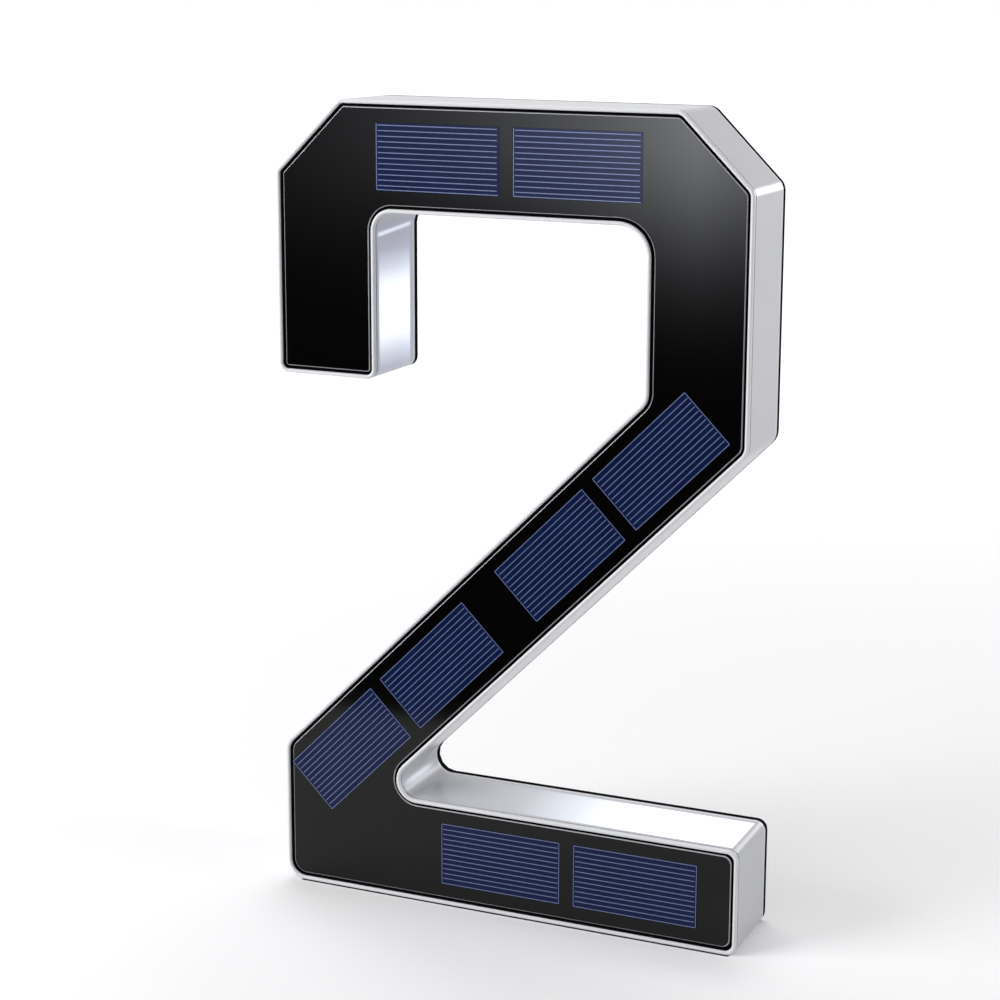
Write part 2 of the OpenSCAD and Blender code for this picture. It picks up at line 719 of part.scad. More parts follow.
function top_route(w, top_w) =
  let (a = over(main_board, main_pad_u, w), b = over(top_board, top_pad_u, top_w))
  [pad(main_board, main_pad_u, w), a, at_z(a, b[2]), b, pad(top_board, top_pad_u, top_w)];
module top_lead_red() { red_lead(top_route(pad_w + pair_step, -pad_w)); }
module top_lead_black() { black_lead(top_route(pad_w, pad_w)); }

stub_pad_u = stub_board_l / 4;
module stub_lead_red() {
  a = over(top_board, -top_pad_u, -pad_w);
  b = over(stub_board, stub_pad_u, -pad_w);
  red_lead([
    pad(top_board, -top_pad_u, -pad_w), a, at_x(a, b[0]), b, pad(stub_board, stub_pad_u, -pad_w)
  ]);
}
module stub_lead_black() {
  a = over(top_board, -top_pad_u, pad_w);
  b = over(stub_board, stub_pad_u, pad_w);
  short_x = left_x + corner_cut - 2 * lead_d;
  black_lead([
    pad(top_board, -top_pad_u, pad_w), a, at_x(a, short_x), [b[0], run_y, a[2] + b[0] - short_x],
    b, pad(stub_board, stub_pad_u, pad_w)
  ]);
}

short_pad_u = short_board_l / 10;
function upper_route(main_w, w) =
  let (a = over(main_board, -main_pad_u, main_w), b = over(upper_board, short_pad_u, w))
  [
    pad(main_board, -main_pad_u, main_w), a, [a[0], run_y, b[2] + (a[0] - b[0]) * diagonal_slope],
    b, pad(upper_board, short_pad_u, w)
  ];
module upper_lead_red() { red_lead(upper_route(-pad_w, -pad_w)); }
module upper_lead_black() { black_lead(upper_route(pad_w, pad_w)); }

aisle_w = (holder_w / 2 + diagonal_w / 2 - wall_t) / 2;
function long_route(side) = [
  pad(upper_board, -short_pad_u, side * pad_w), over(upper_board, -short_pad_u, side * pad_w),
  over(upper_board, -short_pad_u, side * aisle_w), over(lower_board, short_pad_u, side * aisle_w),
  over(lower_board, short_pad_u, side * pad_w), pad(lower_board, short_pad_u, side * pad_w)
];
module long_lead_red() { red_lead(long_route(-1)); }
module long_lead_black() { black_lead(long_route(1)); }

bottom_pad_u = bottom_board_l / 2 - pad_in - lead_d;
function bottom_route(x, w) =
  let (a = over(lower_board, -short_pad_u, w), b = over(bottom_board, -bottom_pad_u, -w))
  [
    pad(lower_board, -short_pad_u, w), a,
    [x, run_y, a[2] + (x - a[0]) * diagonal_slope], [x, run_y, b[2]],
    b, pad(bottom_board, -bottom_pad_u, -w)
  ];
red_turn_x = left_x + stroke_w * 0.62;
black_turn_x = left_x + stroke_w * 0.43;
module bottom_lead_red() { red_lead(bottom_route(red_turn_x, -pad_w)); }
module bottom_lead_black() { black_lead(bottom_route(black_turn_x, pad_w)); }

// From the back of the face down to the front of the control board
face_pad_w = control_w * 0.31;
face_pad_u = control_l * 0.35;
function face_route(side) =
  let (
    low = stroke_point(main_board[0], 90, face_pad_u, board_front_y, side * face_pad_w),
    high = stroke_point(main_board[0], 90, face_pad_u + 2.5 * lead_d, face_back_y, side * face_pad_w),
    rise = [0, (board_front_y - face_back_y) / 3, 0]
  )
  [high, high + rise, low - rise, low];
module panel_lead_red() { red_lead(face_route(1)); }
module panel_lead_black() { black_lead(face_route(-1)); }

// From the battery contacts to the plug, in front of the boards
plug_y = board_front_y - socket_h / 2;
lead_y = end_wall_y - lead_d * 1.2;
core_w = socket_w / 6;
plug_drop = 5.5 * lead_d;
function bay_point(s, w) = stroke_point(holder_place, diagonal_turn, s, lead_y, w);
function plug_start(w) = [
  stroke_point(main_board[0], 90, plug_face_u, plug_y, w),
  stroke_point(main_board[0], 90, plug_face_u - plug_drop, plug_y, w)
];
contact_w = battery_d / 4.2;
lane_w = light_board_w / 2 + 1.5 * lead_d;
// Where each lead turns, along the upper light board, as shares of its length from its middle
red_turn_shares = [0.77, 0.32, -0.25, -0.4];
black_turn_shares = [0.65, 0.2, -0.3];
// Where they cross the board's near end, as shares of its width
red_cross_share = 0.4;
black_cross_share = 0.29;
function board_s(share) = short_board_s + share * short_board_l;
module battery_lead_red() {
  red_lead(concat(plug_start(socket_place[1] - core_w), [
    bay_point(board_s(red_turn_shares[0]), -light_board_w * red_cross_share),
    bay_point(board_s(red_turn_shares[1]), -lane_w),
    bay_point(board_s(red_turn_shares[2]), -lane_w),
    bay_point(board_s(red_turn_shares[3]), -contact_w),
    bay_point(inner_s, -contact_w)
  ]));
}
module battery_lead_black() {
  black_lead(concat(plug_start(socket_place[1] + core_w), [
    bay_point(board_s(black_turn_shares[0]), light_board_w * black_cross_share),
    bay_point(board_s(black_turn_shares[1]), aisle_w),
    bay_point(-board_s(black_turn_shares[2]), aisle_w),
    bay_point(-board_s(black_turn_shares[2]), contact_w),
    bay_point(-inner_s, contact_w)
  ]));
}

side_shell();
front_panel();
solar_cell(0);  // solar_cell_1
solar_cell(1);  // solar_cell_2
solar_cell(2);  // solar_cell_3
solar_cell(3);  // solar_cell_4
solar_cell(4);  // solar_cell_5
solar_cell(5);  // solar_cell_6
solar_cell(6);  // solar_cell_7
solar_cell(7);  // solar_cell_8
panel_tape();
rear_cover();
rear_seal();
cover_screws();
board_screws();
board(top_board, mask_white);  // led_board_top
board(stub_board, mask_white);  // led_board_stub
board(upper_board, mask_white);  // led_board_upper
board(lower_board, mask_white);  // led_board_lower
board(bottom_board, mask_white);  // led_board_bottom
leds(top_board, led_places(top_board));  // leds_top
leds(stub_board, led_places(stub_board));  // leds_stub
leds(upper_board, led_places(upper_board));  // leds_upper
leds(lower_board, led_places(lower_board));  // leds_lower
leds(bottom_board, led_places(bottom_board));  // leds_bottom
leds(main_board, stem_lights);  // leds_stem
board(main_board, mask_green);  // control_board
driver_chip();
inductor();
capacitor();
battery_socket();
battery_plug();
switch_body();
switch_plunger();
power_button();
battery();
battery_holder();
contact_plate(1);  // battery_contact
contact_plate(-1);  // spring_plate
battery_spring();
panel_lead_red();
panel_lead_black();
battery_lead_red();
battery_lead_black();
top_lead_red();
top_lead_black();
stub_lead_red();
stub_lead_black();
upper_lead_red();
upper_lead_black();
long_lead_red();
long_lead_black();
bottom_lead_red();
bottom_lead_black();
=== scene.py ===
import json
import math

import bpy
from mathutils import Matrix, Vector


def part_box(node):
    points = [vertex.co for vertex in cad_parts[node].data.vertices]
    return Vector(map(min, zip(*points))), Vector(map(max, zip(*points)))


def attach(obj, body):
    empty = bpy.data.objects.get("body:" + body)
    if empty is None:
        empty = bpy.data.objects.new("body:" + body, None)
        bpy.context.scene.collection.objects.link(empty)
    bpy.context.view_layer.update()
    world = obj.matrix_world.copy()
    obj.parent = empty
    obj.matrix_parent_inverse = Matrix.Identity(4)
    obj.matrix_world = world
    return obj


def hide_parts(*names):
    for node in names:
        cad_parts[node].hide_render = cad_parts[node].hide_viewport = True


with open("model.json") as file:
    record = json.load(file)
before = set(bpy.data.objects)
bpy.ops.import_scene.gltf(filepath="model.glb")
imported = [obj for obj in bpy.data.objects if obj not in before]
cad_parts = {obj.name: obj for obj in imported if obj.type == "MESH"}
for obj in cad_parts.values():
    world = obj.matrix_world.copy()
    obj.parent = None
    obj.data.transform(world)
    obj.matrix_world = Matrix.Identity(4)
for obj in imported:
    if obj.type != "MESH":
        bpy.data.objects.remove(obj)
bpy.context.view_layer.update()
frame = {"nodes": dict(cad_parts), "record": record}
nodes = frame["nodes"]
mm = 0.001
smoothAngle = math.radians(35)
copySmoothAngle = math.radians(32)


# small helpers for modelling by hand
def pickOnly(obj):
    bpy.ops.object.select_all(action="DESELECT")
    obj.select_set(True)
    bpy.context.view_layer.objects.active = obj


def editWhere(obj, part, wanted):
    # part is "verts", "edges" or "faces"; wanted says which of them are selected
    pickOnly(obj)
    mesh = obj.data
    for group in (mesh.vertices, mesh.edges, mesh.polygons):
        group.foreach_set("select", [False] * len(group))
    source = {"verts": mesh.vertices, "edges": mesh.edges, "faces": mesh.polygons}[part]
    for item in source:
        item.select = bool(wanted(item))
    bpy.context.tool_settings.mesh_select_mode = [part == "verts", part == "edges", part == "faces"]
    bpy.ops.object.mode_set(mode="EDIT")


def backToObject():
    bpy.ops.object.mode_set(mode="OBJECT")


def settle(obj, weighted=True):
    # place into the mesh, normals outwards, smooth shading
    pickOnly(obj)
    bpy.ops.object.transform_apply(location=True, rotation=True, scale=True)
    editWhere(obj, "faces", lambda face: True)
    bpy.ops.mesh.select_all(action="SELECT")
    bpy.ops.mesh.remove_doubles(threshold=0.000001)
    bpy.ops.mesh.normals_make_consistent(inside=False)
    backToObject()
    bpy.ops.object.shade_smooth_by_angle(angle=smoothAngle)
    if weighted:
        useModifier(obj, "WEIGHTED_NORMAL", keep_sharp=True)


def useModifier(obj, kind, **settings):
    pickOnly(obj)
    modifier = obj.modifiers.new(kind.title(), kind)
    for name, value in settings.items():
        setattr(modifier, name, value)
    bpy.ops.object.modifier_apply(modifier=modifier.name)


def joined(name, pieces):
    pickOnly(pieces[0])
    for piece in pieces:
        piece.select_set(True)
    bpy.ops.object.join()
    pieces[0].name = name
    pieces[0].data.name = name
    return pieces[0]


def wear(obj, *materials):
    obj.data.materials.clear()
    for material in materials:
        obj.data.materials.append(material)


# shader maths
class Wire:
    def __init__(self, paint, socket):
        self.paint, self.socket = paint, socket

    def maths(self, operation, first, second=None):
        values = {0: first} if second is None else {0: first, 1: second}
        return self.paint.node("ShaderNodeMath", {"operation": operation}, values)

    def __add__(self, other): return self.maths("ADD", self, other)
    def __radd__(self, other): return self.maths("ADD", other, self)
    def __sub__(self, other): return self.maths("SUBTRACT", self, other)
    def __rsub__(self, other): return self.maths("SUBTRACT", other, self)
    def __mul__(self, other): return self.maths("MULTIPLY", self, other)
    def __rmul__(self, other): return self.maths("MULTIPLY", other, self)
    def __pow__(self, other): return self.maths("POWER", self, other)
    def __rpow__(self, other): return self.maths("POWER", other, self)
    def __abs__(self): return self.maths("ABSOLUTE", self)


class Paint:
    def __init__(self, name, tree=None):
        self.material = None
        if tree is None:
            self.material = bpy.data.materials.new(name)
            self.material.use_nodes = True
            tree = self.material.node_tree
        self.tree = tree
        self.tree.nodes.clear()

    def node(self, kind, settings=None, values=None, out=0):
        made = self.tree.nodes.new(kind)
        for key, value in (settings or {}).items():
            if key == "stops":
                ramp = made.color_ramp
                while len(ramp.elements) < len(value):
                    ramp.elements.new(1)
                for element, (place, colour) in zip(ramp.elements, value):
                    element.position = place
                    element.color = (*colour, 1)
            else:
                setattr(made, key, value)
        for key, value in (values or {}).items():
            socket = made.inputs[key]
            if isinstance(value, Wire):
                self.tree.links.new(value.socket, socket)
            elif isinstance(value, tuple) and len(value) == 3 and socket.type == "RGBA":
                socket.default_value = (*value, 1)
            else:
                socket.default_value = value
        return Wire(self, made.outputs[out])

    def place(self, perUnit=1000):
        # the object coordinates as a vector and one by one, in millimetres unless perUnit says otherwise
        where = self.node("ShaderNodeTexCoord", out=3)
        scaled = self.node("ShaderNodeVectorMath", {"operation": "SCALE"}, {0: where, "Scale": perUnit})
        split = self.node("ShaderNodeSeparateXYZ", None, {0: scaled})
        x, y, z = (Wire(self, output) for output in split.socket.node.outputs)
        return scaled, x, y, z

    def noise(self, where, scale, detail=2, rough=0.5):
        return self.node("ShaderNodeTexNoise", None,
                         {"Vector": where, "Scale": scale, "Detail": detail, "Roughness": rough})

    def between(self, value, low, high, soft):
        # 1 between low and high, 0 outside, with a soft edge
        up = self.node("ShaderNodeMapRange", {"interpolation_type": "SMOOTHSTEP"},
                       {0: value, 1: low - soft, 2: low + soft, 3: 0.0, 4: 1.0})
        down = self.node("ShaderNodeMapRange", {"interpolation_type": "SMOOTHSTEP"},
                         {0: value, 1: high - soft, 2: high + soft, 3: 1.0, 4: 0.0})
        return up * down

    def tint(self, factor, first, second):
        return self.node("ShaderNodeMix", {"data_type": "RGBA"}, {0: factor, 6: first, 7: second}, out=2)

    def bump(self, height, strength, distance):
        values = {"Strength": strength, "Distance": distance, "Height": height}
        return self.node("ShaderNodeBump", None, values)

    def finish(self, values):
        return self.show(self.node("ShaderNodeBsdfPrincipled", None, values))

    def show(self, shader, kind="ShaderNodeOutputMaterial"):
        output = self.tree.nodes.new(kind)
        self.tree.links.new(shader.socket, output.inputs[0])
        return self.material


# the numeral's outline, drawn at any inset from the outer face
signShape = {
    "stroke": 21.3, "stem": 20.4, "diagonal": 20.4, "cornerCut": 14.0, "stubHeight": 53.8,
    "heelHeight": 29.3, "stemRun": 32.2, "crispRadius": 2.0, "shoulderRadius": 2.8, "hipRadius": 3.6,
    "toeRadius": 2.0, "heelRadius": 4.1, "notchRadius": 3.6, "crookRadius": 5.7, "leastRadius": 0.3,
    "toeInside": 1.6, "arcSegments": 10,
}


def numeralCorners():
    shape = signShape
    low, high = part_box("side_shell")
    left, right, top = low[0] / mm, high[0] / mm, high[2] / mm
    under = top - shape["stroke"]
    stemLeft, stubRight = right - shape["stem"], left + shape["stroke"]
    stubBottom = top - shape["stubHeight"]
    elbow = under - shape["stemRun"]
    turn = math.atan2(elbow - shape["heelHeight"], stemLeft - left)
    slope, drop = math.tan(turn), shape["diagonal"] / math.cos(turn)
    hip = shape["heelHeight"] + (right - left) * slope - drop
    crotch = left + (shape["stroke"] - shape["heelHeight"] + drop) / slope
    crisp, hipRound = shape["crispRadius"], shape["hipRadius"]
    toe, heel = shape["toeRadius"], shape["heelRadius"]
    shoulder, notch, crook = shape["shoulderRadius"], shape["notchRadius"], shape["crookRadius"]
    cut = shape["cornerCut"]
    return [
        (left, top - cut, crisp), (left + cut, top, crisp), (right - cut, top, shoulder),
        (right, top - cut, shoulder), (right, hip, hipRound), (crotch, shape["stroke"], notch),
        (right, shape["stroke"], toe), (right, 0, toe), (left, 0, heel), (left, shape["heelHeight"], heel),
        (stemLeft, elbow, notch), (stemLeft, under, crook), (stubRight, under, notch),
        (stubRight, stubBottom, crisp), (left, stubBottom, crisp),
    ]


corners = numeralCorners()
toeCorners = (6, 7)
crotchCorner, stubCorner = 5, 12


def runsAt(i):
    # a corner and the outline's directions into and out of it
    here, before, after = (Vector(corners[(i + k) % len(corners)][:2]) for k in (0, -1, 1))
    return here, (here - before).normalized(), (after - here).normalized()


def insetCorner(i, inset):
    # the corner's place, its radius and its half bend, that far inside the outer face
    here, runIn, runOut = runsAt(i)
    inIn, inOut = Vector((runIn.y, -runIn.x)), Vector((runOut.y, -runOut.x))
    moved = here + (inIn + inOut) * inset / (1 + inIn.dot(inOut))
    side = -1 if runIn.cross(runOut) < 0 else 1
    least = signShape["toeInside"] if i in toeCorners else signShape["leastRadius"]
    radius = max(corners[i][2] + side * inset, least)
    return moved, radius, math.acos(max(-1, min(1, runIn.dot(runOut)))) / 2


def outlinePoints(inset):
    # the whole rounded outline, that far inside the outer face
    ring = []
    for i in range(len(corners)):
        spot, radius, half = insetCorner(i, inset)
        _, runIn, runOut = runsAt(i)
        centre = spot + (runOut - runIn).normalized() * radius / math.cos(half)
        start = spot - runIn * radius * math.tan(half) - centre
        bend = -2 * half if runIn.cross(runOut) < 0 else 2 * half
        steps = signShape["arcSegments"]
        ring += [centre + Matrix.Rotation(bend * k / steps, 2) @ start for k in range(steps + 1)]
    return ring


outerOutline = outlinePoints(0)


def outlineDistance(x, z):
    # how far a place is from the outer outline, in mm
    here, best = Vector((x, z)), math.inf
    for a, b in zip(outerOutline, outerOutline[1:] + outerOutline[:1]):
        share = max(0, min(1, (here - a).dot(b - a) / max((b - a).length_squared, 1e-9)))
        best = min(best, (here - a - (b - a) * share).length)
    return best


def drawOutline(name, inset, depth):
    # a plane shrunk to a point and extruded from place to place round the numeral
    places = outlinePoints(inset)
    bpy.ops.object.select_all(action="DESELECT")
    bpy.ops.mesh.primitive_plane_add(size=mm, location=(places[0].x * mm, depth * mm, places[0].y * mm))
    obj = bpy.context.object
    bpy.ops.object.transform_apply(location=True, rotation=True, scale=True)
    editWhere(obj, "verts", lambda v: True)
    bpy.ops.mesh.merge(type="CENTER")
    for a, b in zip(places, places[1:]):
        step = (b - a) * mm
        bpy.ops.mesh.extrude_vertices_move(TRANSFORM_OT_translate={"value": (step.x, 0, step.y)})
    bpy.ops.mesh.select_all(action="SELECT")
    bpy.ops.mesh.edge_face_add()
    bpy.ops.mesh.delete(type="ONLY_FACE")
    backToObject()
    obj.name = name
    group = obj.vertex_groups.new(name=name)
    group.add(range(len(obj.data.vertices)), 1, "REPLACE")
    return obj


def loft(name, profile, closed=True, capped=False):
    # outlines at each (inset, depth) of the profile, bridged one to the next
    rings = [drawOutline("ring%02d" % i, inset, depth) for i, (inset, depth) in enumerate(profile)]
    obj = joined(name, rings)
    count = len(profile)
    bridges = count if closed else count - 1
    steps = [((i, (i + 1) % count), bpy.ops.mesh.bridge_edge_loops) for i in range(bridges)]
    if capped:
        steps += [((i,), bpy.ops.mesh.edge_face_add) for i in (0, count - 1)]
    for picked, operator in steps:
        editWhere(obj, "edges", lambda edge: False)
        for ring in picked:
            obj.vertex_groups.active_index = obj.vertex_groups["ring%02d" % ring].index
            bpy.ops.object.vertex_group_select()
        operator()
        backToObject()
    obj.vertex_groups.clear()
    return obj


# side shell: wall, rounded rim bead, parting groove and the ledge under the face
shellShape = {
    "front": -9.3, "rimWidth": 0.8, "beadSteps": 6, "wall": 1.5, "wallEnd": 7.5,
    "ledgeIn": 2.7, "ledgeFront": -6.7, "ledgeBack": -5.5, "grooveAt": -8.33, "grooveDeep": 0.14,
    "grooveWide": 0.36, "grooveFloor": 0.2, "skirt": 0.18, "skirtEnd": 7.88, "slope": 0.05,
}


def buildSideShell():
    s = shellShape
    r, front, rim, steps = s["rimWidth"] / 2, s["front"], s["rimWidth"], s["beadSteps"]
    end, grooveAt, grooveDeep = s["wallEnd"], s["grooveAt"], s["grooveDeep"]
    grooveHalf, floorHalf = s["grooveWide"] / 2, s["grooveFloor"] / 2
    # the slope keeps two rings out of one plane, where a bridge can cross the numeral
    profile = [  # a thin skirt hides the rear seal, then the outer wall with its parting groove
        (s["skirt"], end), (s["skirt"], s["skirtEnd"] - s["slope"]), (0, s["skirtEnd"]),
        (0, grooveAt + grooveHalf), (grooveDeep, grooveAt + floorHalf),
        (grooveDeep, grooveAt - floorHalf), (0, grooveAt - grooveHalf),
    ]
    for k in range(steps + 1):
        a = math.pi / 2 * k / steps
        profile.append((r * (1 - math.cos(a)), front + r * (1 - math.sin(a))))
    for k in range(1, steps + 1):
        a = math.pi / 2 * k / steps
        profile.append((rim - r + r * math.sin(a), front + r * (1 - math.cos(a))))
    profile += [
        (rim, s["ledgeFront"]), (s["ledgeIn"], s["ledgeFront"] + s["slope"]), (s["ledgeIn"], s["ledgeBack"]),
        (s["wall"], s["ledgeBack"] + s["slope"]), (s["wall"], end - s["slope"]),
    ]
    shell = loft("sideShell", profile)
    settle(shell)
    return shell


sideShell = buildSideShell()
print("side shell:", len(sideShell.data.polygons), "faces")

bossShape = {
    "diameter": 4.6, "boreRadius": 1.1, "boreDeep": 9, "bite": 0.6, "from": -5.5, "to": 7.5,
    "sides": 32, "corners": (1, 3, 4, 7, 8, 9, 10, 14),
}


def bossPlace(i):
    # middle of the rounded corner, that far inside the outer face
    inset = shellShape["wall"] + bossShape["diameter"] / 2 - bossShape["bite"]
    spot, radius, half = insetCorner(i, inset)
    _, runIn, runOut = runsAt(i)
    return spot + (runOut - runIn).normalized() * radius * (1 / math.cos(half) - 1)


def buildBosses():
    b = bossShape
    made = []
    for i in b["corners"]:
        spot = bossPlace(i)
        bpy.ops.object.select_all(action="DESELECT")
        bpy.ops.mesh.primitive_cylinder_add(
            vertices=b["sides"], radius=b["diameter"] / 2 * mm, depth=(b["to"] - b["from"]) * mm,
            location=(spot.x * mm, (b["to"] + b["from"]) / 2 * mm, spot.y * mm),
            rotation=(math.pi / 2, 0, 0))
        boss = bpy.context.object
        bpy.ops.object.transform_apply(location=True, rotation=True, scale=True)
        editWhere(boss, "faces", lambda face: face.normal.y > 0.9)
        bpy.ops.mesh.inset(thickness=(b["diameter"] / 2 - b["boreRadius"]) * mm)
        bpy.ops.mesh.extrude_region_move(
            TRANSFORM_OT_translate={"value": (0, -b["boreDeep"] * mm, 0)})
        backToObject()
        made.append(boss)
    bosses = joined("screwBosses", made)
    settle(bosses)
    return bosses


screwBosses = buildBosses()

# dark seal that fills the gap between rim and face
sealShape = {"outer": 0.82, "inner": 1.33, "foot": -6.72, "shoulder": -7.7, "crown": -7.86}


def buildFaceSeal():
    s = sealShape
    middle = (s["outer"] + s["inner"]) / 2
    seal = loft("faceSeal", [(s["outer"], s["foot"]), (s["outer"], s["shoulder"]), (middle, s["crown"]),
                             (s["inner"], s["shoulder"]), (s["inner"], s["foot"])])
    settle(seal)
    return seal


faceSeal = buildFaceSeal()

# black face with its rounded edge, which wears a painted highlight, and the pockets for the cells
faceShape = {
    "inset": 1.35, "front": -8.8, "back": -7.0, "edgeRound": 0.28, "edgeSteps": 6,
    "cellWidth": 12.9, "cellDeep": 0.4, "cellPlay": 0.05,
}
cellTurns = {1: 0, 2: 0, 3: 45, 4: 45, 5: 45, 6: 45, 7: 0, 8: 0}


def cellPlace(number):
    low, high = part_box("solar_cell_%d" % number)
    return (Vector(low) + Vector(high)) / 2 / mm


def cellLength():
    low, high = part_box("solar_cell_1")
    return (high[0] - low[0]) / mm


def buildFacePanel():
    f = faceShape
    r = f["edgeRound"]
    profile = [(f["inset"], f["back"])]
    for k in range(f["edgeSteps"] + 1):
        a = math.pi / 2 * k / f["edgeSteps"]
        profile.append((f["inset"] + r * (1 - math.cos(a)), f["front"] + r * (1 - math.sin(a))))
    panel = loft("facePanel", profile, closed=False, capped=True)
    settle(panel, weighted=False)
    for number, turn in cellTurns.items():
        spot = cellPlace(number)
        bpy.ops.object.select_all(action="DESELECT")
        bpy.ops.mesh.primitive_cube_add(
            size=1, location=(spot.x * mm, f["front"] * mm, spot.z * mm),
            rotation=(0, -math.radians(turn), 0))
        cutter = bpy.context.object
        cutter.scale = ((cellLength() + 2 * f["cellPlay"]) * mm, 2 * f["cellDeep"] * mm,
                        (f["cellWidth"] + 2 * f["cellPlay"]) * mm)
        bpy.ops.object.transform_apply(location=True, rotation=True, scale=True)
        useModifier(panel, "BOOLEAN", operation="DIFFERENCE", object=cutter, solver="EXACT")
        bpy.data.objects.remove(cutter)
    pickOnly(panel)
    bpy.ops.object.shade_smooth_by_angle(angle=smoothAngle)
    useModifier(panel, "WEIGHTED_NORMAL", keep_sharp=True)
    return panel


facePanel = buildFacePanel()
print("face panel:", len(facePanel.data.polygons), "faces")

# rear cover: the CAD shape with its rear edge softened
coverShape = {"edgeRound": 0.1, "edgeSteps": 2, "edgeReach": 0.3}


def copyOf(node, name):
    # a CAD node's shape as a piece of its own, its loose triangles merged
    piece = bpy.data.objects.new(name, nodes[node].data.copy())
    bpy.context.scene.collection.objects.link(piece)
    piece.data.name = name
    pickOnly(piece)
    bpy.ops.mesh.customdata_custom_splitnormals_clear()
    editWhere(piece, "faces", lambda face: True)
    bpy.ops.mesh.remove_doubles(threshold=0.000002)
    bpy.ops.mesh.dissolve_limited(angle_limit=math.radians(0.5))
    backToObject()
    return piece


def buildRearCover():
    c = coverShape
    cover = copyOf("rear_cover", "rearCover")
    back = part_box("rear_cover")[1][1]
    verts = cover.data.vertices

    def onRearEdge(edge):
        ends = [verts[i].co for i in edge.vertices]
        return all(abs(e.y - back) < 0.01 * mm and outlineDistance(e.x / mm, e.z / mm) < c["edgeReach"]
                   for e in ends)

    editWhere(cover, "edges", onRearEdge)
    bpy.ops.mesh.bevel(offset=c["edgeRound"] * mm, segments=c["edgeSteps"], profile=0.5)
    backToObject()
    bpy.ops.object.shade_smooth_by_angle(angle=copySmoothAngle)
    useModifier(cover, "WEIGHTED_NORMAL", keep_sharp=True)
    return cover


rearCover = buildRearCover()
print("rear cover:", len(rearCover.data.polygons), "faces")

# power button: the CAD shape with soft edges, and a raised ring to find it by touch
buttonShape = {
    "edgeRound": 0.14, "edgeSteps": 3, "ringOuter": 1.9, "ringInner": 1.45, "ringHigh": 0.09,
    "ringSides": 48, "ringSlopeWide": 0.08, "ringSlopeHigh": 0.03, "ringSink": 0.063,
}


def buildPowerButton():
    b = buttonShape
    button = copyOf("power_button", "powerButton")
    useModifier(button, "BEVEL", width=b["edgeRound"] * mm, segments=b["edgeSteps"],
                limit_method="ANGLE", angle_limit=math.radians(50))
    low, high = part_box("power_button")
    bpy.ops.object.select_all(action="DESELECT")
    bpy.ops.mesh.primitive_cylinder_add(
        vertices=b["ringSides"], radius=b["ringOuter"] * mm, depth=b["ringHigh"] * 2 * mm,
        location=((low[0] + high[0]) / 2, high[1], (low[2] + high[2]) / 2),
        rotation=(math.pi / 2, 0, 0))
    ring = bpy.context.object
    bpy.ops.object.transform_apply(location=True, rotation=True, scale=True)
    editWhere(ring, "faces", lambda face: face.normal.y > 0.9)
    slopeWide, slopeHigh = b["ringSlopeWide"], b["ringSlopeHigh"]
    flatWide = b["ringOuter"] - b["ringInner"] - 2 * slopeWide
    bpy.ops.mesh.inset(thickness=slopeWide * mm, depth=slopeHigh * mm)
    bpy.ops.mesh.inset(thickness=flatWide * mm)
    bpy.ops.mesh.inset(thickness=slopeWide * mm, depth=-slopeHigh * mm)
    bpy.ops.mesh.extrude_region_move(TRANSFORM_OT_translate={"value": (0, -b["ringSink"] * mm, 0)})
    backToObject()
    settle(ring)
    button = joined("powerButton", [button, ring])
    pickOnly(button)
    bpy.ops.object.shade_smooth_by_angle(angle=copySmoothAngle)
    return button


powerButton = buildPowerButton()

# silver finger lines printed on each cell
lineShape = {
    "wide": 0.17, "high": 0.03, "fingers": 11, "pitch": 1.04, "border": 0.16, "borderIn": 0.16,
    "fingerIn": 0.45, "topFirst": 0.95, "topExtra": 1, "endShare": 0.8,
    "crownLongShare": 0.998, "crownWideShare": 0.7,
}
topBarCells = (1, 2)


def lineBar(length, width, x, z):
    bpy.ops.object.select_all(action="DESELECT")
    bpy.ops.mesh.primitive_cube_add(size=1, location=(x * mm, 0, z * mm))
    bar = bpy.context.object
    l = lineShape
    bar.scale = (length * mm, l["high"] * mm, width * mm)
    bpy.ops.object.transform_apply(location=True, rotation=True, scale=True)
    editWhere(bar, "faces", lambda face: face.normal.y < -0.9)  # the printed paste has a narrower crown
    bpy.ops.transform.resize(value=(l["crownLongShare"], 1, l["crownWideShare"]),
                             center_override=(x * mm, 0, z * mm))
    backToObject()
    return bar


def buildCellLines(number):
    l = lineShape
    length, width = cellLength(), faceShape["cellWidth"]
    inTopBar = number in topBarCells
    sides = (-1,) if inTopBar else (-1, 1)  # the top bar's cells have no line at their top and right
    lines = []
    for side in sides:
        borderAt = side * (width / 2 - l["borderIn"])
        lines.append(lineBar(length - 2 * l["borderIn"], l["border"], 0, borderAt))
    span = (l["fingers"] - 1) * l["pitch"]
    start = -span / 2 if not inTopBar else -width / 2 + l["topFirst"]
    finger = lineBar(length - 2 * l["fingerIn"], l["wide"], 0, start)
    useModifier(finger, "ARRAY", count=l["fingers"] + (l["topExtra"] if inTopBar else 0),
                use_relative_offset=False, use_constant_offset=True,
                constant_offset_displace=(0, 0, l["pitch"] * mm))
    lines.append(finger)
    for side in sides:
        endAt = side * (length / 2 - l["borderIn"])
        lines.append(lineBar(l["border"] * l["endShare"], width - 2 * l["borderIn"], endAt, 0))
    piece = joined("cellLines%d" % number, lines)
    spot = cellPlace(number)
    low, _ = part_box("solar_cell_%d" % number)
    piece.rotation_euler = (0, -math.radians(cellTurns[number]), 0)
    piece.location = (spot.x * mm, low[1] - lineShape["high"] / 2 * mm, spot.z * mm)
    settle(piece, weighted=False)
    return piece


cellLines = [buildCellLines(number) for number in cellTurns]
print("cell lines:", len(cellLines), "pieces")

